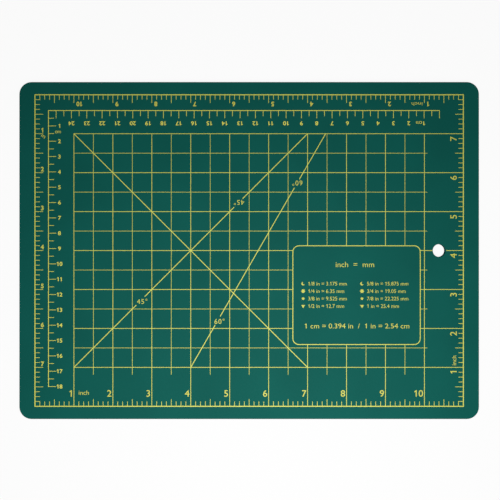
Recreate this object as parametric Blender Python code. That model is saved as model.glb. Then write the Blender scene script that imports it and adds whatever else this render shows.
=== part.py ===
"""Rotary cutting mat: a three-ply self-healing board with a printed inch grid and two rulers.

Run it with blender --background --python part.py, or from Blender's text editor.
Units are metres, +Z is up, +X is the long side, and the mat lies on z = 0 with its middle at the
origin. The front, which carries the print, faces +Z.
"""

import math

import bmesh
import bpy
from mathutils import Matrix, Vector

MM = 0.001
INCH = 0.0254

# The board
MAT_LENGTH = 300 * MM
MAT_WIDTH = 220 * MM
CORNER_RADIUS = 8 * MM
CUTTING_PLY = 1.0 * MM
CORE_PLY = 0.96 * MM
BOND_LINE = 0.02 * MM
EDGE_ROLL = 0.25 * MM
HOLE_RADIUS = 4.15 * MM
HOLE_INSET = 26 * MM

# The ink
INK_FILM = 0.08 * MM
INK_LIFT = 0.02 * MM
PRINT_SEAM = 0.02 * MM
FRAME_LINE = 0.60 * MM
WHOLE_LINE = 0.37 * MM
HALF_LINE = 0.27 * MM
GUIDE_LINE = 0.50 * MM
METRIC_LINE = 0.42 * MM
TICK_LINE = 0.32 * MM
PANEL_LINE = 0.50 * MM
HOLE_MARGIN = 0.4 * MM

# The inch ruler is a frame of as many whole inches as leave this margin to the edge
EDGE_MARGIN = 8 * MM
EIGHTHS = 8
LONG_TICK = 5.3 * MM
BOTTOM_HALF_TICK = 4.6 * MM

# The grid starts one inch in from the frame's left, top and bottom lines
GRID_INSET = 1 * INCH
HALF_LINE_TAIL = 4.8 * MM
HALF_LINE_STUB = 1.9 * MM
STEEP_FOOT = 3 * INCH
STEEP_ANGLE = math.radians(60)
LABEL_GAP = 5.5 * MM
SQUARE_LABELS = (43.4 * MM, 107.3 * MM)
STEEP_LABELS = (30.4 * MM, 119.9 * MM)

# The note panel, measured from the frame's right and bottom lines
PANEL_LENGTH = 83.1 * MM
PANEL_HEIGHT = 64.4 * MM
PANEL_RADIUS = 3.9 * MM
PANEL_RIGHT = 28.1 * MM
PANEL_BASE = 40.3 * MM

# The centimetre ruler, measured from the frame's top and left lines
METRIC_STEP = 5 * MM
METRIC_TOP = 10.3 * MM
METRIC_LEFT = 8.8 * MM
METRIC_END_ROOM = 15 * MM
METRIC_FOOT_ROOM = 12 * MM
METRIC_LONG_TICK = 5.0 * MM
METRIC_SHORT_TICK = 3.6 * MM

# How finely arcs are cut
CORNER_STEPS = 10
HOLE_STEPS = 32
PANEL_STEPS = 5
ROLL_STEPS = 2

WELD = 0.001 * MM

SHEET_GREEN = (0.010, 0.092, 0.072, 1.0)
CORE_GREEN = (0.012, 0.055, 0.046, 1.0)
INK_YELLOW = (0.72, 0.55, 0.10, 1.0)

# Heights, counted up from the bench
CORE_BASE = CUTTING_PLY + BOND_LINE
UPPER_BASE = CORE_BASE + CORE_PLY + BOND_LINE
FRONT = UPPER_BASE + CUTTING_PLY
INK_BASE = FRONT + INK_LIFT

# The inch frame, centred on the mat, and what is laid out from it
INCHES_LONG = int((MAT_LENGTH - 2 * EDGE_MARGIN) / INCH)
INCHES_HIGH = int((MAT_WIDTH - 2 * EDGE_MARGIN) / INCH)
FRAME_RIGHT = INCHES_LONG * INCH / 2
FRAME_TOP = INCHES_HIGH * INCH / 2
HOLE_X = MAT_LENGTH / 2 - HOLE_INSET

RIGHT, LEFT = Vector((1, 0)), Vector((-1, 0))
UP, DOWN = Vector((0, 1)), Vector((0, -1))


def clear_scene():
    for item in list(bpy.data.objects):
        bpy.data.objects.remove(item, do_unlink=True)


def collection_named(name):
    group = bpy.data.collections.get(name) or bpy.data.collections.new(name)
    if group.name not in bpy.context.scene.collection.children:
        bpy.context.scene.collection.children.link(group)
    return group


def plain_material(name, colour, roughness):
    material = bpy.data.materials.new(name)
    material.use_nodes = True
    shader = material.node_tree.nodes["Principled BSDF"]
    shader.inputs["Base Color"].default_value = colour
    shader.inputs["Roughness"].default_value = roughness
    shader.inputs["Metallic"].default_value = 0.0
    material.diffuse_color = colour
    return material


def rounded_rectangle(length, height, radius, steps, centre=(0.0, 0.0)):
    """Points of a rectangle whose four corners are arcs of the given number of steps."""
    points = []
    for turn, (sx, sy) in enumerate(((1, 1), (-1, 1), (-1, -1), (1, -1))):
        cx = centre[0] + sx * (length / 2 - radius)
        cy = centre[1] + sy * (height / 2 - radius)
        for step in range(steps + 1):
            angle = math.pi / 2 * (turn + step / steps)
            points.append((cx + radius * math.cos(angle), cy + radius * math.sin(angle)))
    return points


def circle(radius, steps, centre):
    turn = 2 * math.pi / steps
    return [
        (centre[0] + radius * math.cos(turn * i), centre[1] + radius * math.sin(turn * i))
        for i in range(steps)
    ]


def flat_solid(name, loops, base, thickness, group):
    """A flat outline of closed loops, holes included, raised to a solid that starts at base."""
    curve = bpy.data.curves.new(name, "CURVE")
    curve.dimensions = "2D"
    curve.fill_mode = "BOTH"
    curve.extrude = thickness / 2
    for loop in loops:
        spline = curve.splines.new("POLY")
        spline.points.add(len(loop) - 1)
        for point, (x, y) in zip(spline.points, loop):
            point.co = (x, y, 0.0, 1.0)
        spline.use_cyclic_u = True
    drawn = bpy.data.objects.new(name + "_outline", curve)
    drawn.location.z = base + thickness / 2
    bpy.context.scene.collection.objects.link(drawn)
    bpy.context.view_layer.update()
    evaluated = drawn.evaluated_get(bpy.context.evaluated_depsgraph_get())
    mesh = bpy.data.meshes.new_from_object(evaluated)
    mesh.name = name
    solid = bpy.data.objects.new(name, mesh)
    solid.matrix_world = drawn.matrix_world.copy()
    group.objects.link(solid)
    bpy.data.objects.remove(drawn, do_unlink=True)
    work = bmesh.new()
    work.from_mesh(mesh)
    bmesh.ops.remove_doubles(work, verts=work.verts, dist=WELD)
    bmesh.ops.recalc_face_normals(work, faces=work.faces)
    work.to_mesh(mesh)
    work.free()
    return solid


def boolean(solid, other, operation, own_overlaps=False):
    modifier = solid.modifiers.new(other.name, "BOOLEAN")
    modifier.operation = operation
    modifier.solver = "EXACT"
    modifier.object = other
    modifier.use_self = own_overlaps


def roll_edges(sheet, level):
    """Round the rims of a ply that lie at one height, as the cutting die leaves them."""
    work = bmesh.new()
    work.from_mesh(sheet.data)
    local = level - sheet.location.z
    rims = [
        edge
        for edge in work.edges
        if all(abs(vert.co.z - local) < WELD for vert in edge.verts)
        and edge.calc_face_angle(0.0) > math.radians(60)
    ]
    bmesh.ops.bevel(
        work,
        geom=rims,
        offset=EDGE_ROLL,
        segments=ROLL_STEPS,
        profile=0.5,
        affect="EDGES",
        material=-1,
    )
    work.to_mesh(sheet.data)
    work.free()


def make_sheet(name, base, thickness, colour, roughness, group, rolled_level=None):
    """One ply of the board, with its rounded corners and the punched hanging hole."""
    outline = rounded_rectangle(MAT_LENGTH, MAT_WIDTH, CORNER_RADIUS, CORNER_STEPS)
    hole = circle(HOLE_RADIUS, HOLE_STEPS, (HOLE_X, 0.0))
    sheet = flat_solid(name, [outline, hole], base, thickness, group)
    if rolled_level is not None:
        roll_edges(sheet, rolled_level)
    sheet.data.shade_smooth()
    sheet.data.set_sharp_from_angle(angle=math.radians(30))
    sheet.data.materials.append(plain_material(name, colour, roughness))
    return sheet


def add_stroke(work, start, end, width):
    """One straight stroke of ink between two points."""
    run = end - start
    middle = (start + end) / 2
    place = (
        Matrix.Translation((middle.x, middle.y, INK_BASE + INK_FILM / 2))
        @ Matrix.Rotation(math.atan2(run.y, run.x), 4, "Z")
        @ Matrix.Diagonal((run.length, width, INK_FILM, 1.0))
    )
    bmesh.ops.create_cube(work, size=1.0, matrix=place)


def film_of(name, work, group):
    """The strokes gathered so far as one object, for a Boolean to fuse."""
    mesh = bpy.data.meshes.new(name)
    work.to_mesh(mesh)
    work.free()
    film = bpy.data.objects.new(name, mesh)
    mesh.materials.append(plain_material(name, INK_YELLOW, 0.5))
    group.objects.link(film)
    return film


def inch_tick(side, eighth, inches):
    """Length of one tick of the inch ruler, or None where a grid line takes its place."""
    if eighth % EIGHTHS == 0:
        return None if side in ("bottom", "right") else LONG_TICK
    if eighth % (EIGHTHS // 2) == 0:
        return BOTTOM_HALF_TICK if side == "bottom" else LONG_TICK
    if eighth in (1, inches * EIGHTHS - 1):
        return INCH / EIGHTHS + TICK_LINE / 2
    return INCH / EIGHTHS


def make_inch_ruler(group, hole_clearance):
    """The frame of whole inches with a tick every eighth; its corner ticks close into squares."""
    sides = (
        ("bottom", Vector((-FRAME_RIGHT, -FRAME_TOP)), RIGHT, UP, INCHES_LONG),
        ("right", Vector((FRAME_RIGHT, -FRAME_TOP)), UP, LEFT, INCHES_HIGH),
        ("top", Vector((FRAME_RIGHT, FRAME_TOP)), LEFT, DOWN, INCHES_LONG),
        ("left", Vector((-FRAME_RIGHT, FRAME_TOP)), DOWN, RIGHT, INCHES_HIGH),
    )
    work = bmesh.new()
    for side, start, along, inward, inches in sides:
        overhang = along * FRAME_LINE / 2
        add_stroke(work, start - overhang, start + along * inches * INCH + overhang, FRAME_LINE)
        for eighth in range(1, inches * EIGHTHS):
            length = inch_tick(side, eighth, inches)
            if length is not None:
                foot = start + along * eighth * INCH / EIGHTHS
                add_stroke(work, foot, foot + inward * length, TICK_LINE)
    if INCHES_HIGH % 2 == 0:
        # the grid's middle line goes on from the hanging hole to the frame
        add_stroke(work, Vector((HOLE_X, 0.0)), Vector((FRAME_RIGHT, 0.0)), WHOLE_LINE)
    ruler = film_of("inch_ruler_print", work, group)
    boolean(ruler, hole_clearance, "DIFFERENCE", own_overlaps=True)
    return ruler


def add_guide(work, foot, angle, height, labels):
    """A slanting guide line from the grid's base to its top, broken where its labels stand."""
    marks = [0.0]
    for label in labels:
        marks += [label - LABEL_GAP / 2, label + LABEL_GAP / 2]
    marks.append(height)
    for low, high in zip(marks[::2], marks[1::2]):
        start = foot + Vector((low / math.tan(angle), low))
        end = foot + Vector((high / math.tan(angle), high))
        add_stroke(work, start, end, GUIDE_LINE)


def add_grid(work):
    """Whole-inch lines that run on to the ruler, and half-inch lines that stop just outside."""
    left = -FRAME_RIGHT + GRID_INSET
    top = FRAME_TOP - GRID_INSET
    base = -FRAME_TOP + GRID_INSET
    ruler_edge = FRAME_LINE / 2 + PRINT_SEAM
    columns = round((FRAME_RIGHT - GRID_INSET) * 2 / INCH)
    rows = round((top - base) / INCH)
    last = left + columns * INCH
    for half in range(2 * columns + 1):
        x = left + half * INCH / 2
        if half % 2 == 0:
            add_stroke(work, Vector((x, -FRAME_TOP + ruler_edge)), Vector((x, top)), WHOLE_LINE)
        else:
            add_stroke(work, Vector((x, base - HALF_LINE_TAIL)), Vector((x, top)), HALF_LINE)
    for half in range(2 * rows + 1):
        y = base + half * INCH / 2
        if half % 2 == 1:
            add_stroke(work, Vector((left, y)), Vector((last + HALF_LINE_STUB, y)), HALF_LINE)
            continue
        start = left - WHOLE_LINE / 2 if half == 2 * rows else left
        end = HOLE_X if abs(y) < WELD else FRAME_RIGHT - ruler_edge
        add_stroke(work, Vector((start, y)), Vector((end, y)), WHOLE_LINE)
    height = top - base
    add_stroke(work, Vector((left, top)), Vector((left + height, base)), GUIDE_LINE)
    add_guide(work, Vector((left, base)), math.radians(45), height, SQUARE_LABELS)
    add_guide(work, Vector((left + STEEP_FOOT, base)), STEEP_ANGLE, height, STEEP_LABELS)


def make_cutting_grid(group, helpers, hole_clearance):
    """The grid, the guide lines and the note panel's border, fused into one film of ink."""
    work = bmesh.new()
    add_grid(work)
    grid = film_of("cutting_grid_print", work, group)
    centre = (
        FRAME_RIGHT - PANEL_RIGHT - PANEL_LENGTH / 2,
        -FRAME_TOP + PANEL_BASE + PANEL_HEIGHT / 2,
    )
    window = flat_solid(
        "panel_window",
        [rounded_rectangle(PANEL_LENGTH, PANEL_HEIGHT, PANEL_RADIUS, PANEL_STEPS, centre)],
        UPPER_BASE,
        2 * CUTTING_PLY,
        helpers,
    )
    border_loops = [
        rounded_rectangle(
            PANEL_LENGTH + side * PANEL_LINE,
            PANEL_HEIGHT + side * PANEL_LINE,
            PANEL_RADIUS + side * PANEL_LINE / 2,
            PANEL_STEPS,
            centre,
        )
        for side in (1, -1)
    ]
    border = flat_solid("panel_border", border_loops, INK_BASE, INK_FILM, helpers)
    boolean(grid, window, "DIFFERENCE", own_overlaps=True)
    boolean(grid, border, "UNION")
    boolean(grid, hole_clearance, "DIFFERENCE")
    return grid


def make_metric_ruler(group, hole_clearance):
    """The L-shaped centimetre ruler: its arms count from the right and from the top."""
    corner = Vector((-FRAME_RIGHT + METRIC_LEFT, FRAME_TOP - METRIC_TOP))
    across = int((2 * FRAME_RIGHT - METRIC_LEFT - METRIC_END_ROOM) / METRIC_STEP)
    downward = int((2 * FRAME_TOP - METRIC_TOP - METRIC_FOOT_ROOM) / METRIC_STEP)
    zero = corner + RIGHT * across * METRIC_STEP
    work = bmesh.new()
    arms = ((zero, LEFT, DOWN, across, 0), (corner, DOWN, RIGHT, downward, 1))
    for start, along, inward, steps, first in arms:
        end = start + along * steps * METRIC_STEP
        overhang = along * METRIC_LINE / 2
        add_stroke(work, start - overhang, end + overhang, METRIC_LINE)
        last = steps if first == 0 else steps + 1
        for index in range(first, last):
            length = METRIC_LONG_TICK if index % 2 == 0 else METRIC_SHORT_TICK
            foot = start + along * index * METRIC_STEP
            add_stroke(work, foot, foot + inward * length, TICK_LINE)
    ruler = film_of("metric_ruler_print", work, group)
    boolean(ruler, hole_clearance, "DIFFERENCE", own_overlaps=True)
    return ruler


def make_hole_clearance(helpers):
    """The disc about the hanging hole that the print leaves bare."""
    loop = circle(HOLE_RADIUS + HOLE_MARGIN, HOLE_STEPS, (HOLE_X, 0.0))
    return flat_solid("hole_clearance", [loop], UPPER_BASE, 2 * CUTTING_PLY, helpers)


def main():
    clear_scene()
    mat = collection_named("rotary_cutting_mat")
    helpers = collection_named("cutters")
    make_sheet("lower_cutting_sheet", 0.0, CUTTING_PLY, SHEET_GREEN, 0.62, mat, rolled_level=0.0)
    make_sheet("core_sheet", CORE_BASE, CORE_PLY, CORE_GREEN, 0.55, mat)
    make_sheet("upper_cutting_sheet", UPPER_BASE, CUTTING_PLY, SHEET_GREEN, 0.62, mat, FRONT)
    hole_clearance = make_hole_clearance(helpers)
    make_inch_ruler(mat, hole_clearance)
    make_cutting_grid(mat, helpers, hole_clearance)
    make_metric_ruler(mat, hole_clearance)
    for helper in helpers.objects:
        helper.hide_render = True
        helper.display_type = "WIRE"


main()
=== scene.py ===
"""Looks of a rotary cutting mat: its sheets, ink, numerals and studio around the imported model.

The file is laid out as a Blender add-on and is run as a script. Units are metres. The mat lies on
z = 0 with its printed face up, its long side along X and its hanging hole at the +X end.
"""

import math

import bmesh
import bpy
from bpy.props import FloatProperty, FloatVectorProperty, PointerProperty
from bpy.types import Operator, Panel, PropertyGroup
from mathutils import Matrix, Vector


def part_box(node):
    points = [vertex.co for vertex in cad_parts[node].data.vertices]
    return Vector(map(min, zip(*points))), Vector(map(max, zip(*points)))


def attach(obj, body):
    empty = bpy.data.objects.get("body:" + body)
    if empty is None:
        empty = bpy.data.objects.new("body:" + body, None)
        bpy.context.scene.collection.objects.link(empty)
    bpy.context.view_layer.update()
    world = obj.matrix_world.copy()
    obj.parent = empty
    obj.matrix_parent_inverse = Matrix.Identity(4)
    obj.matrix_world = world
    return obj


bl_info = {
    "name": "Rotary Cutting Mat",
    "version": (1, 0, 0),
    "blender": (4, 5, 0),
    "location": "3D View > Sidebar > Cutting Mat",
    "description": "Finishes the sheets, rulers and numerals of a self-healing cutting mat",
    "category": "Object",
}

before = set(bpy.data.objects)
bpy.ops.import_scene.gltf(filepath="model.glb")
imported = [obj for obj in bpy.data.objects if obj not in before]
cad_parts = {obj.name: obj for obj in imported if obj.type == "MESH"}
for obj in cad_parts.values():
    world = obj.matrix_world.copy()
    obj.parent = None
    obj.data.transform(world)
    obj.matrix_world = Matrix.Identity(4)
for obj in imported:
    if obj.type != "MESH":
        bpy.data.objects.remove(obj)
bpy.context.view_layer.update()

MM = 0.001
INCH = 0.0254
CENTIMETRE = 0.01
EIGHTHS = 8

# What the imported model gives: its box, the height of the ink and the inch frame
RULER_LOW, RULER_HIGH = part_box("inch_ruler_print")
INK_BASE = RULER_LOW.z
INK_TOP = RULER_HIGH.z
INCHES_LONG = int((RULER_HIGH.x - RULER_LOW.x) / INCH)
INCHES_HIGH = int((RULER_HIGH.y - RULER_LOW.y) / INCH)
FRAME_RIGHT = INCHES_LONG * INCH / 2
FRAME_TOP = INCHES_HIGH * INCH / 2

# The centimetre ruler: how wide its lines are, and the middles of its outermost ones
METRIC_LINE = 0.42 * MM
METRIC_LOW, METRIC_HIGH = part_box("metric_ruler_print")
METRIC_ZERO = METRIC_HIGH.x - METRIC_LINE / 2
METRIC_TOP = METRIC_HIGH.y - METRIC_LINE / 2
METRIC_LEFT = METRIC_LOW.x + METRIC_LINE / 2
METRIC_FOOT = METRIC_LOW.y + METRIC_LINE / 2

# Vinyl: clouds of tone, patches of polish as wide as so many pebbles, and how dull it is
CLOUD_SIZE = 45 * MM
CLOUD_TONES = (0.94, 1.06)
POLISH_PATCH = 3
POLISH_RANGE = 0.05
SHEET_ROUGHNESS = 0.62
CORE_ROUGHNESS = 0.5
CORE_COARSENESS = 2

# Painted shade on the upright cut edges: the share of the vinyl's tone that they keep, and a
# normal's rises from cut to face
PAINTED_EDGE_SHADE = 0.68
CUT_RISE = (0.2, 0.8)

# Ink: its patches and their tones, how dull it is, and what it shows of the sheet's grain
INK_PATCH = 1.6 * MM
INK_TONES = (0.97, 1.02)
INK_ROUGHNESS = 0.5
INK_GRAIN = 0.15

# The letters are a film a little lower than the lines, so that no two faces share a height
LETTER_FILM = 0.8 * (INK_TOP - INK_BASE)

# The steps of a letter's curves, and how near to each other its points are welded, in ems
LETTER_STEPS = 5
WELD = 0.0001

# The built-in font, in ems: a digit's height, middle and width, and a zero's reach from the pen
DIGIT_SHARE = 0.70
DIGIT_MIDDLE = 0.341
DIGIT_ADVANCE = 0.5
ZERO_REACH = 0.470

# The figure one, in ems: its stem, its flag, and what a last one gives back of its width
ONE_MIDDLE = 0.27
ONE_HALF_STEM = 0.049
ONE_FLAG = 0.135
ONE_SHOULDER = 0.145
ONE_TRIM = 0.08

# The flag of the one, in half stems: its top's inset, its tip's height and its root's drop
FLAG_INSET = 0.4
FLAG_TIP = 1.7
FLAG_ROOT = 0.35

# How much bolder each set of numerals is than the font draws it, in ems
LARGE_WEIGHT = 0.006
SMALL_WEIGHT = 0.034
METRIC_WEIGHT = 0.020

# Reading directions of the words that aren't level, in degrees
UPWARDS = 90
TURNED = 180

# Numerals of the inch frame: how far in from their side, and how far from their tick
BOTTOM_NUMERAL_DEPTH = 8.4 * MM
BOTTOM_NUMERAL_GAP = 0.75 * MM
RIGHT_NUMERAL_DEPTH = 6.4 * MM
RIGHT_NUMERAL_GAP = 1.8 * MM
TOP_NUMERAL_DEPTH = 6.0 * MM
TOP_NUMERAL_GAP = 1.6 * MM
LEFT_NUMERAL_DEPTH = 4.8 * MM
LEFT_NUMERAL_RISE = 2.3 * MM
LARGE_STRETCH = 1.04

# Unit words of the inch frame, each beside the numeral of the first inch
BOTTOM_UNIT_GAP = 2.9 * MM
BOTTOM_UNIT_RISE = 0.5 * MM
BOTTOM_UNIT_STRETCH = 1.07
RIGHT_UNIT_GAP = 1.2 * MM
RIGHT_UNIT_SHIFT = 0.4 * MM
TOP_UNIT_GAP = 1.0 * MM
TOP_UNIT_SHARE = 0.78
TOP_UNIT_STRETCH = 1.48

# The slanted unit word at the left: its place from the frame's left and first inch, and its slant
SLANTED_ACROSS = 5.6 * MM
SLANTED_DROP = 1.4 * MM
SLANTED_TURN = -35
SLANTED_SHARE = 0.92
SLANTED_STRETCH = 1.2

# Numerals of the centimetre ruler: the long arm's last is left out, being too near the corner
METRIC_TOP_COUNT = int((METRIC_ZERO - METRIC_LEFT) / CENTIMETRE) - 1
METRIC_LEFT_COUNT = round((METRIC_TOP - METRIC_FOOT) / CENTIMETRE)
METRIC_TOP_DEPTH = 8.3 * MM
METRIC_TOP_STRETCH = 1.12
METRIC_LEFT_DEPTH = 7.15 * MM
METRIC_LEFT_STRETCH = 1.1

# Unit words of the centimetre ruler
METRIC_UNIT_SHARE = 0.9
METRIC_TOP_UNIT_GAP = 1.3 * MM
METRIC_TOP_UNIT_SHIFT = 0.2 * MM
METRIC_LEFT_UNIT_DEPTH = 4.1 * MM
METRIC_LEFT_UNIT_DROP = 3.6 * MM

# Angle marks, whose heights are counted from the grid's lower left corner
GRID_LEFT = -FRAME_RIGHT + INCH
GRID_BASE = -FRAME_TOP + INCH
STEEP_FOOT = 3 * INCH
SQUARE_ANGLE = 45
STEEP_ANGLE = 60
SQUARE_MARKS = (43.4 * MM, 107.3 * MM)
STEEP_MARKS = (30.4 * MM, 119.9 * MM)
MARK_SHIFTS = ((1.4 * MM, -0.45 * MM), (0.1 * MM, 0.35 * MM))
MARK_SPACING = 1.15

# The note panel, and how far it stands from the frame's right and bottom lines
PANEL_LENGTH = 83.1 * MM
PANEL_HEIGHT = 64.4 * MM
PANEL_INSET = 28.1 * MM
PANEL_RISE = 40.3 * MM
PANEL_LEFT = FRAME_RIGHT - PANEL_INSET - PANEL_LENGTH
PANEL_TOP = -FRAME_TOP + PANEL_RISE + PANEL_HEIGHT

# What stands in the panel, each place counted from the panel's upper left corner
HEADING_AT = (40.5 * MM, 12.2 * MM)
HEADING_HEIGHT = 3.4 * MM
HEADING_STRETCH = 1.08
TABLE_COLUMNS = (6.7 * MM, 45.1 * MM)
TABLE_INDENT = 3.1 * MM
TABLE_FIRST_ROW = 24.7 * MM
TABLE_PITCH = 4.87 * MM
ENTRY_HEIGHT = 2.4 * MM
FOOTER_AT = (41.8 * MM, 52.3 * MM)
FOOTER_HEIGHT = 3.2 * MM
FOOTER_STRETCH = 1.11

# The table's ornaments: their common radius, and the shares of it that two of them take
ORNAMENT_RADIUS = 1.15 * MM
ROSETTE_SHARE = 1.22
TRIANGLE_SHARE = 1.232
ROSETTE = {"count": 6, "depth": 0.35, "steps": 48}
STAR = {"rays": 8, "waist": 0.55}

# The moon: where its horns stand, how far its bite is moved, its turn, and its two arcs' steps
MOON_HORN = math.radians(52)
MOON_BITE = 0.62
MOON_TURN = math.radians(30)
MOON_STEPS = (18, 12)

# The camera: its film's width, in a lens's millimetres, and its shift from the mat's middle
SENSOR_WIDTH = 36.0
CAMERA_OFFSET = (0.55 * MM, 0.35 * MM)

# The floor: half its side, its drop below the mat, the share of its own glow, and its tone
FLOOR_REACH = 20.0
FLOOR_DROP = 0.05 * MM
FLOOR_GLOW = 0.93
FLOOR_TONE = 0.80

# The dim light all round, the far floor's tone, and the sines of height where that turns dim
DIM_LIGHT = 0.10
FAR_FLOOR = FLOOR_GLOW + (1 - FLOOR_GLOW) * FLOOR_TONE * DIM_LIGHT
HORIZON_FADE = (0.45, 0.62)

# The soft lamp near the mat's lower edge: its place and side in metres, its power in watts
LAMP_PLACE = (0.02, -0.13, 0.27)
LAMP_SIDE = 0.30
LAMP_POWER = 1.08


def settings():
    return bpy.context.scene.cutting_mat


def principled(name):
    """A new material with its nodes, its links and its shader."""
    material = bpy.data.materials.new(name)
    material.use_nodes = True
    tree = material.node_tree
    return material, tree.nodes, tree.links, tree.nodes["Principled BSDF"]


def noise(nodes, links, size, detail=2.0, roughness=0.5):
    """Noise on Object coordinates whose features are about the given size."""
    place = nodes.new("ShaderNodeTexCoord")
    texture = nodes.new("ShaderNodeTexNoise")
    texture.inputs["Scale"].default_value = 1 / size
    texture.inputs["Detail"].default_value = detail
    texture.inputs["Roughness"].default_value = roughness
    links.new(place.outputs["Object"], texture.inputs["Vector"])
    return texture.outputs["Fac"]


def spread(nodes, links, source, low, high, start=0.3, end=0.7):
    """A value that goes from low to high as its source, such as a noise, goes from start to end."""
    ramp = nodes.new("ShaderNodeMapRange")
    ramp.inputs["From Min"].default_value = start
    ramp.inputs["From Max"].default_value = end
    ramp.inputs["To Min"].default_value = low
    ramp.inputs["To Max"].default_value = high
    links.new(source, ramp.inputs["Value"])
    return ramp.outputs["Result"]


def combined(nodes, links, operation, first, second):
    """Two values brought together by a Math node, such as MAXIMUM or MULTIPLY."""
    join = nodes.new("ShaderNodeMath")
    join.operation = operation
    links.new(first, join.inputs[0])
    links.new(second, join.inputs[1])
    return join.outputs["Value"]


def two_tone(nodes, links, factor, first, second):
    """Mixes a colour or a colour output, first, with a second colour."""
    mix = nodes.new("ShaderNodeMix")
    mix.data_type = "RGBA"
    links.new(factor, mix.inputs["Factor"])
    if isinstance(first, bpy.types.NodeSocket):
        links.new(first, mix.inputs["A"])
    else:
        mix.inputs["A"].default_value = first
    mix.inputs["B"].default_value = second
    return mix.outputs["Result"]


def shade(colour, share):
    return (colour[0] * share, colour[1] * share, colour[2] * share, 1.0)


def grey(tone):
    return (tone, tone, tone, 1.0)


def patchy(nodes, links, colour, size, tones):
    """A colour that drifts between two shares of itself, in patches of about the given size."""
    drift = spread(nodes, links, noise(nodes, links, size), 0.0, 1.0)
    return two_tone(nodes, links, drift, shade(colour, tones[0]), shade(colour, tones[1]))


def pebbles(nodes, links, shader, size, depth):
    """The fine matte grain that the embossing roller leaves on soft vinyl."""
    bump = nodes.new("ShaderNodeBump")
    bump.inputs["Strength"].default_value = 1.0
    bump.inputs["Distance"].default_value = depth
    links.new(noise(nodes, links, size, detail=1.0), bump.inputs["Height"])
    links.new(bump.outputs["Normal"], shader.inputs["Normal"])


def upright(nodes, links):
    """1 on the upright cut edges of a flat ply, and 0 on its faces."""
    place = nodes.new("ShaderNodeTexCoord")
    parts = nodes.new("ShaderNodeSeparateXYZ")
    links.new(place.outputs["Normal"], parts.inputs["Vector"])
    rise = nodes.new("ShaderNodeMath")
    rise.operation = "ABSOLUTE"
    links.new(parts.outputs["Z"], rise.inputs[0])
    return spread(nodes, links, rise.outputs["Value"], 1.0, 0.0, *CUT_RISE)


def vinyl_material(name, colour, roughness, coarseness=1):
    """Soft vinyl: cloudy in tone and finely pebbled, duller on its cut edges and darkened there by
    painted shade.
    """
    look = settings()
    grain = coarseness * look.grain_size
    material, nodes, links, shader = principled(name)
    cut = upright(nodes, links)
    tone = patchy(nodes, links, colour, CLOUD_SIZE, CLOUD_TONES)
    # Painted shade: the upright cut edges get a darker share of the vinyl's tone, as if in shadow.
    tone = two_tone(nodes, links, cut, tone, shade(colour, PAINTED_EDGE_SHADE))
    links.new(tone, shader.inputs["Base Color"])
    patches = noise(nodes, links, POLISH_PATCH * grain)
    polish = spread(nodes, links, patches, roughness - POLISH_RANGE, roughness + POLISH_RANGE)
    links.new(combined(nodes, links, "MAXIMUM", polish, cut), shader.inputs["Roughness"])
    shader.inputs["Specular IOR Level"].default_value = look.sheet_gloss
    pebbles(nodes, links, shader, grain, coarseness * look.grain_depth)
    return material


def ink_material(name, colour):
    """Screen-printing ink: opaque, a little uneven, and smoother than the sheet that it covers."""
    look = settings()
    material, nodes, links, shader = principled(name)
    tone = patchy(nodes, links, colour, INK_PATCH, INK_TONES)
    links.new(tone, shader.inputs["Base Color"])
    shader.inputs["Roughness"].default_value = INK_ROUGHNESS
    shader.inputs["Specular IOR Level"].default_value = look.ink_gloss
    pebbles(nodes, links, shader, look.grain_size, INK_GRAIN * look.grain_depth)
    return material


def dress(node, material):
    """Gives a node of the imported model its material."""
    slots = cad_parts[node].data.materials
    slots.clear()
    slots.append(material)


def ink_piece(name, work, material):
    """Makes the film gathered so far one piece of ink that rides on the mat."""
    mesh = bpy.data.meshes.new(name)
    work.to_mesh(mesh)
    work.free()
    mesh.materials.append(material)
    piece = bpy.data.objects.new(name, mesh)
    bpy.context.scene.collection.objects.link(piece)
    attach(piece, "root")


def flat_mesh(curve):
    """A flat curve or a text, one unit thick, as a mesh."""
    curve.extrude = 0.5
    drawn = bpy.data.objects.new(curve.name, curve)
    bpy.context.scene.collection.objects.link(drawn)
    bpy.context.view_layer.update()
    evaluated = drawn.evaluated_get(bpy.context.evaluated_depsgraph_get())
    mesh = bpy.data.meshes.new_from_object(evaluated)
    bpy.data.objects.remove(drawn, do_unlink=True)
    return mesh


def add_flat(work, curve, place, length, height):
    """Adds a flat curve to the piece as a closed film of ink, at its real size and place."""
    mesh = flat_mesh(curve)
    film = bmesh.new()
    film.from_mesh(mesh)
    bmesh.ops.remove_doubles(film, verts=film.verts, dist=WELD)
    size = Matrix.Diagonal((length, height, LETTER_FILM, 1.0))
    lift = Matrix.Translation((0.0, 0.0, 0.5))
    bmesh.ops.transform(film, matrix=place @ size @ lift, verts=film.verts)
    bmesh.ops.recalc_face_normals(film, faces=film.faces)
    film.to_mesh(mesh)
    film.free()
    work.from_mesh(mesh)
    bpy.data.meshes.remove(mesh)


def loop_curve(points):
    """A closed flat outline in units of its own size."""
    curve = bpy.data.curves.new("outline", "CURVE")
    curve.dimensions = "2D"
    curve.fill_mode = "BOTH"
    spline = curve.splines.new("POLY")
    spline.points.add(len(points) - 1)
    for point, (x, y) in zip(spline.points, points):
        point.co = (x, y, 0.0, 1.0)
    spline.use_cyclic_u = True
    return curve


def text_curve(words, weight, spacing=1.0):
    curve = bpy.data.curves.new("letters", "FONT")
    curve.body = words
    curve.offset = weight
    curve.space_character = spacing
    curve.resolution_u = LETTER_STEPS
    return curve


def reach(words, spacing):
    """How far the pen moves over these words, in ems: a zero after them shows where it stops."""
    mesh = flat_mesh(text_curve(words + "0", 0.0, spacing))
    end = max(vert.co.x for vert in mesh.vertices)
    bpy.data.meshes.remove(mesh)
    return end - ZERO_REACH


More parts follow.
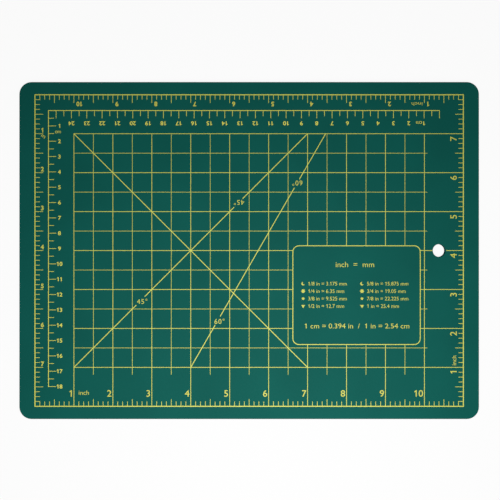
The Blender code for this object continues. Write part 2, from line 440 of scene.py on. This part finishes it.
def figure_one(weight):
    """A one with a flag, which the built-in font draws as a bare stem."""
    stem = ONE_HALF_STEM + weight
    top = DIGIT_MIDDLE * 2 + weight
    foot = -weight
    neck = ONE_MIDDLE - stem
    tip = neck - ONE_FLAG
    shoulder = top - ONE_SHOULDER
    return loop_curve(
        (
            (neck, foot),
            (neck + 2 * stem, foot),
            (neck + 2 * stem, top),
            (neck + FLAG_INSET * stem, top),
            (tip, shoulder),
            (tip, shoulder - FLAG_TIP * stem),
            (neck, shoulder - FLAG_ROOT * stem),
        )
    )


def add_words(
    work, words, height, place, weight=0.0, stretch=1.0, align="CENTER", spacing=1.0
):
    """Adds words whose digits have the given height, centred on the height of the place."""
    runs = [run for run in words.replace("1", "\n1\n").split("\n") if run]
    widths = [DIGIT_ADVANCE if run == "1" else reach(run, spacing) for run in runs]
    if runs[-1] == "1":
        widths[-1] -= ONE_TRIM
    share = {"LEFT": 0.0, "CENTER": 0.5, "RIGHT": 1.0}[align]
    pen = -share * sum(widths)
    em = height / (DIGIT_SHARE + 2 * weight)
    for run, width in zip(runs, widths):
        curve = figure_one(weight) if run == "1" else text_curve(run, weight, spacing)
        start = Matrix.Translation((pen * em * stretch, -DIGIT_MIDDLE * em, 0.0))
        add_flat(work, curve, place @ start, em * stretch, em)
        pen += width


def spot(x, y, turn=0.0):
    """A place on the printed face, with the reading direction turned by degrees."""
    return Matrix.Translation((x, y, INK_BASE)) @ Matrix.Rotation(math.radians(turn), 4, "Z")


def arc(radius, start, end, steps, centre=(0.0, 0.0)):
    points = []
    for step in range(steps + 1):
        angle = start + (end - start) * step / steps
        points.append((centre[0] + radius * math.cos(angle), centre[1] + radius * math.sin(angle)))
    return points


def crescent():
    """A moon open to the upper right, its two horns on one circle."""
    inner = math.sqrt(1 + MOON_BITE * MOON_BITE - 2 * MOON_BITE * math.cos(MOON_HORN))
    inner_horn = math.atan2(math.sin(MOON_HORN), math.cos(MOON_HORN) - MOON_BITE)
    outer_steps, inner_steps = MOON_STEPS
    outer = arc(1.0, MOON_HORN, 2 * math.pi - MOON_HORN, outer_steps)
    hollow = arc(inner, 2 * math.pi - inner_horn, inner_horn, inner_steps, (MOON_BITE, 0.0))
    turn = Matrix.Rotation(MOON_TURN, 2)
    return [tuple(turn @ Vector(point)) for point in outer + hollow[1:-1]]


def petals(count, depth, steps):
    """A rosette of the given number of petals."""
    points = []
    for step in range(steps):
        angle = 2 * math.pi * step / steps
        radius = 1 - depth * (1 + math.cos(count * angle)) / 2
        points.append((radius * math.sin(angle), radius * math.cos(angle)))
    return points


def star(rays, waist):
    points = []
    for corner in range(2 * rays):
        angle = math.pi * corner / rays
        radius = 1.0 if corner % 2 == 0 else waist
        points.append((radius * math.sin(angle), radius * math.cos(angle)))
    return points


def triangle():
    """A triangle that points down."""
    return arc(1.0, -math.pi / 2, 3 * math.pi / 2, 3)[:3]


def shown_directly(nodes, links):
    """1 for what the camera sees, directly, mirrored or through glass, and otherwise 0."""
    path = nodes.new("ShaderNodeLightPath")
    total = path.outputs["Is Camera Ray"]
    for name in ("Is Glossy Ray", "Is Transmission Ray"):
        total = combined(nodes, links, "MAXIMUM", total, path.outputs[name])
    return total


def pale_floor():
    """A pale floor that shows nearly white and still takes the mat's shadow."""
    material, nodes, links, shader = principled("pale_floor")
    shader.inputs["Base Color"].default_value = grey(FLOOR_TONE)
    shader.inputs["Roughness"].default_value = 1.0
    shader.inputs["Specular IOR Level"].default_value = 0.0
    glow = nodes.new("ShaderNodeEmission")
    glow.inputs["Color"].default_value = grey(1.0)
    share = spread(nodes, links, shown_directly(nodes, links), 0.0, FLOOR_GLOW, 0.0, 1.0)
    mix = nodes.new("ShaderNodeMixShader")
    links.new(share, mix.inputs["Fac"])
    links.new(shader.outputs["BSDF"], mix.inputs[1])
    links.new(glow.outputs["Emission"], mix.inputs[2])
    links.new(mix.outputs["Shader"], nodes["Material Output"].inputs["Surface"])
    return material


def add_floor():
    """The floor that the mat lies on, a hair below it."""
    work = bmesh.new()
    bmesh.ops.create_grid(work, x_segments=1, y_segments=1, size=FLOOR_REACH)
    bmesh.ops.translate(work, verts=work.verts, vec=(0.0, 0.0, -FLOOR_DROP))
    mesh = bpy.data.meshes.new("floor")
    work.to_mesh(mesh)
    work.free()
    mesh.materials.append(pale_floor())
    floor = bpy.data.objects.new("floor", mesh)
    bpy.context.scene.collection.objects.link(floor)


def plain_surroundings(scene):
    """Even surroundings: as pale as the far floor near the horizon, and dim as a light."""
    world = bpy.data.worlds.new("studio")
    scene.world = world
    world.use_nodes = True
    nodes, links = world.node_tree.nodes, world.node_tree.links
    background = nodes["Background"]
    direction = nodes.new("ShaderNodeTexCoord")
    height = nodes.new("ShaderNodeSeparateXYZ")
    links.new(direction.outputs["Generated"], height.inputs["Vector"])
    near_horizon = spread(nodes, links, height.outputs["Z"], 1.0, 0.0, *HORIZON_FADE)
    seen = combined(nodes, links, "MULTIPLY", shown_directly(nodes, links), near_horizon)
    light = two_tone(nodes, links, seen, grey(DIM_LIGHT), grey(FAR_FLOOR))
    links.new(light, background.inputs["Color"])
    background.inputs["Strength"].default_value = 1.0


def add_lamp(name, place, side, power):
    """A square soft lamp that looks at the middle of the mat."""
    lamp_data = bpy.data.lights.new(name, "AREA")
    lamp_data.shape = "SQUARE"
    lamp_data.size = side
    lamp_data.energy = power
    lamp = bpy.data.objects.new(name, lamp_data)
    lamp.location = place
    lamp.rotation_euler = (-Vector(place)).to_track_quat("-Z", "Y").to_euler()
    lamp.visible_camera = False
    bpy.context.scene.collection.objects.link(lamp)


def add_camera(name, width, distance):
    """A camera that looks straight down and spans the given width at the height of the print."""
    camera_data = bpy.data.cameras.new(name)
    camera_data.sensor_width = SENSOR_WIDTH
    camera_data.lens = SENSOR_WIDTH * distance / width
    camera = bpy.data.objects.new(name, camera_data)
    camera.location = (*CAMERA_OFFSET, INK_TOP + distance)
    bpy.context.scene.collection.objects.link(camera)
    bpy.context.scene.camera = camera


class CuttingMatSettings(PropertyGroup):
    """Sizes and colours of the mat that a user would change."""

    sheet_colour: FloatVectorProperty(
        name="Sheet Colour",
        description="Dark green of the two soft sheets",
        subtype="COLOR",
        size=3,
        default=(0.0042, 0.1040, 0.0840),
    )
    core_colour: FloatVectorProperty(
        name="Core Colour",
        description="Grey-green of the firm ply between the sheets",
        subtype="COLOR",
        size=3,
        default=(0.006, 0.050, 0.042),
    )
    line_colour: FloatVectorProperty(
        name="Line Colour",
        description="Yellow ink of the inch ruler and the grid",
        subtype="COLOR",
        size=3,
        default=(0.75, 0.765, 0.13),
    )
    numeral_colour: FloatVectorProperty(
        name="Numeral Colour",
        description="Yellow ink of the inch numerals, the angle marks and the note panel",
        subtype="COLOR",
        size=3,
        default=(0.68, 0.67, 0.105),
    )
    # Painted light: the same yellow ink as the lines, made about an eighth lighter because the
    # centimetre ruler stands at the upper left, which the lamp lights less.
    centimetre_colour: FloatVectorProperty(
        name="Centimetre Colour",
        description="Yellow ink of the centimetre ruler and its numerals",
        subtype="COLOR",
        size=3,
        default=(0.84, 0.82, 0.13),
    )
    grain_size: FloatProperty(
        name="Grain Size",
        description="Width of one pebble of the matte surface",
        unit="LENGTH",
        default=0.5 * MM,
    )
    grain_depth: FloatProperty(
        name="Grain Depth",
        description="Height of the pebbles",
        unit="LENGTH",
        default=0.02 * MM,
    )
    sheet_gloss: FloatProperty(
        name="Sheet Gloss",
        description="Specular level of the soft vinyl",
        subtype="FACTOR",
        default=0.05,
    )
    ink_gloss: FloatProperty(
        name="Ink Gloss",
        description="Specular level of the ink",
        subtype="FACTOR",
        default=0.3,
    )
    inch_numeral: FloatProperty(
        name="Inch Numeral",
        description="Height of the large numerals along the bottom and the right",
        unit="LENGTH",
        default=4.3 * MM,
    )
    small_numeral: FloatProperty(
        name="Small Inch Numeral",
        description="Height of the inch numerals along the top and the left",
        unit="LENGTH",
        default=3.1 * MM,
    )
    metric_numeral: FloatProperty(
        name="Centimetre Numeral",
        description="Height of the numerals of the centimetre ruler",
        unit="LENGTH",
        default=2.65 * MM,
    )
    unit_word: FloatProperty(
        name="Unit Word",
        description="Digit height of the unit words",
        unit="LENGTH",
        default=2.8 * MM,
    )
    angle_numeral: FloatProperty(
        name="Angle Numeral",
        description="Height of the degree marks on the guide lines",
        unit="LENGTH",
        default=3.2 * MM,
    )
    view_width: FloatProperty(
        name="View Width",
        description="What the picture spans at the height of the print",
        unit="LENGTH",
        default=326.1 * MM,
    )
    view_distance: FloatProperty(
        name="View Distance",
        description="Height of the camera over the print",
        unit="LENGTH",
        default=350 * MM,
    )


class CUTTINGMAT_OT_studio(Operator):
    """Set up the floor, the plain surroundings, the lamp and the camera"""

    bl_idname = "cutting_mat.studio"
    bl_label = "Studio"

    def execute(self, context):
        context.scene.view_settings.view_transform = "Standard"
        add_floor()
        plain_surroundings(context.scene)
        add_lamp("key_lamp", LAMP_PLACE, LAMP_SIDE, LAMP_POWER)
        add_camera("overhead_camera", settings().view_width, settings().view_distance)
        return {"FINISHED"}


class CUTTINGMAT_OT_sheets(Operator):
    """Finish the two soft sheets and the core"""

    bl_idname = "cutting_mat.sheets"
    bl_label = "Sheets"

    def execute(self, context):
        sheet = vinyl_material("green_vinyl", settings().sheet_colour, SHEET_ROUGHNESS)
        core = vinyl_material(
            "core_vinyl", settings().core_colour, CORE_ROUGHNESS, CORE_COARSENESS
        )
        dress("upper_cutting_sheet", sheet)
        dress("lower_cutting_sheet", sheet)
        dress("core_sheet", core)
        return {"FINISHED"}


class CUTTINGMAT_OT_lines(Operator):
    """Finish the printed lines of both rulers and of the grid"""

    bl_idname = "cutting_mat.lines"
    bl_label = "Printed Lines"

    def execute(self, context):
        inch_ink = ink_material("inch_line_ink", settings().line_colour)
        dress("inch_ruler_print", inch_ink)
        dress("cutting_grid_print", inch_ink)
        # The centimetre ruler's lines take the ink with painted light, lighter than the inch lines.
        dress("metric_ruler_print", ink_material("metric_line_ink", settings().centimetre_colour))
        return {"FINISHED"}


class CUTTINGMAT_OT_inch_numerals(Operator):
    """Print the numerals and unit words of the inch frame on its four sides"""

    bl_idname = "cutting_mat.inch_numerals"
    bl_label = "Inch Numerals"

    def execute(self, context):
        look = settings()
        ink = ink_material("numeral_ink", look.numeral_colour)
        large = {"weight": LARGE_WEIGHT, "stretch": LARGE_STRETCH, "align": "RIGHT"}
        work = bmesh.new()
        for inch in range(1, INCHES_LONG):
            x = -FRAME_RIGHT + inch * INCH - BOTTOM_NUMERAL_GAP
            here = spot(x, -FRAME_TOP + BOTTOM_NUMERAL_DEPTH)
            add_words(work, str(inch), look.inch_numeral, here, **large)
            x = FRAME_RIGHT - inch * INCH + TOP_NUMERAL_GAP
            here = spot(x, FRAME_TOP - TOP_NUMERAL_DEPTH, TURNED)
            add_words(work, str(inch), look.small_numeral, here, SMALL_WEIGHT, align="RIGHT")
        for inch in range(1, INCHES_HIGH):
            y = -FRAME_TOP + inch * INCH - RIGHT_NUMERAL_GAP
            here = spot(FRAME_RIGHT - RIGHT_NUMERAL_DEPTH, y, UPWARDS)
            add_words(work, str(inch), look.inch_numeral, here, **large)
            y = FRAME_TOP - inch * INCH + LEFT_NUMERAL_RISE
            here = spot(-FRAME_RIGHT + LEFT_NUMERAL_DEPTH, y)
            add_words(work, str(inch), look.small_numeral, here, SMALL_WEIGHT)
        ink_piece("inch_numerals", work, ink)

        work = bmesh.new()
        x = -FRAME_RIGHT + INCH + BOTTOM_UNIT_GAP
        here = spot(x, -FRAME_TOP + BOTTOM_NUMERAL_DEPTH + BOTTOM_UNIT_RISE)
        add_words(work, "inch", look.unit_word, here, stretch=BOTTOM_UNIT_STRETCH, align="LEFT")
        x = FRAME_RIGHT - RIGHT_NUMERAL_DEPTH + RIGHT_UNIT_SHIFT
        here = spot(x, -FRAME_TOP + INCH + RIGHT_UNIT_GAP, UPWARDS)
        add_words(work, "inch", look.unit_word, here, align="LEFT")
        here = spot(FRAME_RIGHT - INCH - TOP_UNIT_GAP, FRAME_TOP - TOP_NUMERAL_DEPTH, TURNED)
        height = TOP_UNIT_SHARE * look.unit_word
        add_words(work, "inch", height, here, stretch=TOP_UNIT_STRETCH, align="LEFT")
        y = FRAME_TOP - INCH - SLANTED_DROP
        here = spot(-FRAME_RIGHT + SLANTED_ACROSS, y, SLANTED_TURN)
        add_words(work, "in", SLANTED_SHARE * look.unit_word, here, stretch=SLANTED_STRETCH)
        ink_piece("inch_unit_words", work, ink)
        return {"FINISHED"}


class CUTTINGMAT_OT_centimetre_numerals(Operator):
    """Print the numerals and unit words of the centimetre ruler"""

    bl_idname = "cutting_mat.centimetre_numerals"
    bl_label = "Centimetre Numerals"

    def execute(self, context):
        look = settings()
        # The ink with painted light: lighter than the inch numerals, for the upper left of the mat.
        ink = ink_material("centimetre_ink", look.centimetre_colour)
        along_top = {"weight": METRIC_WEIGHT, "stretch": METRIC_TOP_STRETCH}
        down_left = {"weight": METRIC_WEIGHT, "stretch": METRIC_LEFT_STRETCH}
        work = bmesh.new()
        for count in range(1, METRIC_TOP_COUNT + 1):
            x = METRIC_ZERO - count * CENTIMETRE
            here = spot(x, METRIC_TOP - METRIC_TOP_DEPTH, TURNED)
            add_words(work, str(count), look.metric_numeral, here, **along_top)
        for count in range(1, METRIC_LEFT_COUNT + 1):
            here = spot(METRIC_LEFT + METRIC_LEFT_DEPTH, METRIC_TOP - count * CENTIMETRE)
            add_words(work, str(count), look.metric_numeral, here, **down_left)
        ink_piece("centimetre_numerals", work, ink)

        work = bmesh.new()
        height = METRIC_UNIT_SHARE * look.metric_numeral
        x = METRIC_ZERO - CENTIMETRE - METRIC_TOP_UNIT_GAP
        here = spot(x, METRIC_TOP - METRIC_TOP_DEPTH + METRIC_TOP_UNIT_SHIFT, TURNED)
        add_words(work, "cm", height, here, align="LEFT")
        y = METRIC_TOP - CENTIMETRE - METRIC_LEFT_UNIT_DROP
        here = spot(METRIC_LEFT + METRIC_LEFT_UNIT_DEPTH, y)
        add_words(work, "cm", height, here, align="LEFT")
        ink_piece("centimetre_unit_words", work, ink)
        return {"FINISHED"}


class CUTTINGMAT_OT_angle_marks(Operator):
    """Print the degree marks in the gaps of the guide lines"""

    bl_idname = "cutting_mat.angle_marks"
    bl_label = "Angle Marks"

    def execute(self, context):
        look = settings()
        ink = ink_material("angle_ink", look.numeral_colour)
        work = bmesh.new()
        guides = ((0.0, SQUARE_ANGLE, SQUARE_MARKS), (STEEP_FOOT, STEEP_ANGLE, STEEP_MARKS))
        for foot, angle, marks in guides:
            for rise, turn, (across, up) in zip(marks, (0, TURNED), MARK_SHIFTS):
                x = GRID_LEFT + foot + rise / math.tan(math.radians(angle)) + across
                here = spot(x, GRID_BASE + rise + up, turn)
                add_words(work, f"{angle}°", look.angle_numeral, here, spacing=MARK_SPACING)
        ink_piece("angle_marks", work, ink)
        return {"FINISHED"}


class CUTTINGMAT_OT_note_panel(Operator):
    """Print the note panel: a plain table of inch fractions in millimetres"""

    bl_idname = "cutting_mat.note_panel"
    bl_label = "Note Panel"

    def execute(self, context):
        ink = ink_material("panel_ink", settings().numeral_colour)
        work = bmesh.new()
        here = spot(PANEL_LEFT + HEADING_AT[0], PANEL_TOP - HEADING_AT[1])
        add_words(work, "inch  =  mm", HEADING_HEIGHT, here, stretch=HEADING_STRETCH)
        ink_piece("panel_heading", work, ink)

        entries, ornaments = bmesh.new(), bmesh.new()
        shapes = (
            (crescent(), 1.0),
            (petals(**ROSETTE), ROSETTE_SHARE),
            (star(**STAR), 1.0),
            (triangle(), TRIANGLE_SHARE),
        )
        for column, left in enumerate(TABLE_COLUMNS):
            for row, (shape, share) in enumerate(shapes):
                y = PANEL_TOP - TABLE_FIRST_ROW - row * TABLE_PITCH
                here = spot(PANEL_LEFT + left, y)
                radius = share * ORNAMENT_RADIUS
                add_flat(ornaments, loop_curve(shape), here, radius, radius)
                count = len(shapes) * column + row + 1
                common = math.gcd(count, EIGHTHS)
                inches = f"{count // common}/{EIGHTHS // common}" if count < EIGHTHS else "1"
                words = f"{inches} in = {count * INCH / EIGHTHS / MM:g} mm"
                here = spot(PANEL_LEFT + left + TABLE_INDENT, y)
                add_words(entries, words, ENTRY_HEIGHT, here, align="LEFT")
        ink_piece("panel_entries", entries, ink)
        ink_piece("panel_ornaments", ornaments, ink)

        work = bmesh.new()
        here = spot(PANEL_LEFT + FOOTER_AT[0], PANEL_TOP - FOOTER_AT[1])
        words = "1 cm = 0.394 in  /  1 in = 2.54 cm"
        add_words(work, words, FOOTER_HEIGHT, here, stretch=FOOTER_STRETCH)
        ink_piece("panel_footer", work, ink)
        return {"FINISHED"}


class CUTTINGMAT_PT_panel(Panel):
    """Lists the settings and the steps that finish the mat"""

    bl_label = "Cutting Mat"
    bl_idname = "CUTTINGMAT_PT_panel"
    bl_space_type = "VIEW_3D"
    bl_region_type = "UI"
    bl_category = "Cutting Mat"

    def draw(self, context):
        look = settings()
        column = self.layout.column()
        for name in CuttingMatSettings.__annotations__:
            column.prop(look, name)
        for step in STEPS:
            column.operator(step.bl_idname)


STEPS = (
    CUTTINGMAT_OT_studio,
    CUTTINGMAT_OT_sheets,
    CUTTINGMAT_OT_lines,
    CUTTINGMAT_OT_inch_numerals,
    CUTTINGMAT_OT_centimetre_numerals,
    CUTTINGMAT_OT_angle_marks,
    CUTTINGMAT_OT_note_panel,
)
CLASSES = (CuttingMatSettings, *STEPS, CUTTINGMAT_PT_panel)


def register():
    for cls in CLASSES:
        bpy.utils.register_class(cls)
    bpy.types.Scene.cutting_mat = PointerProperty(type=CuttingMatSettings)


def unregister():
    del bpy.types.Scene.cutting_mat
    for cls in reversed(CLASSES):
        bpy.utils.unregister_class(cls)


def main():
    register()
    bpy.ops.cutting_mat.studio()
    bpy.ops.cutting_mat.sheets()
    bpy.ops.cutting_mat.lines()
    bpy.ops.cutting_mat.inch_numerals()
    bpy.ops.cutting_mat.centimetre_numerals()
    bpy.ops.cutting_mat.angle_marks()
    bpy.ops.cutting_mat.note_panel()


if __name__ == "__main__":
    main()
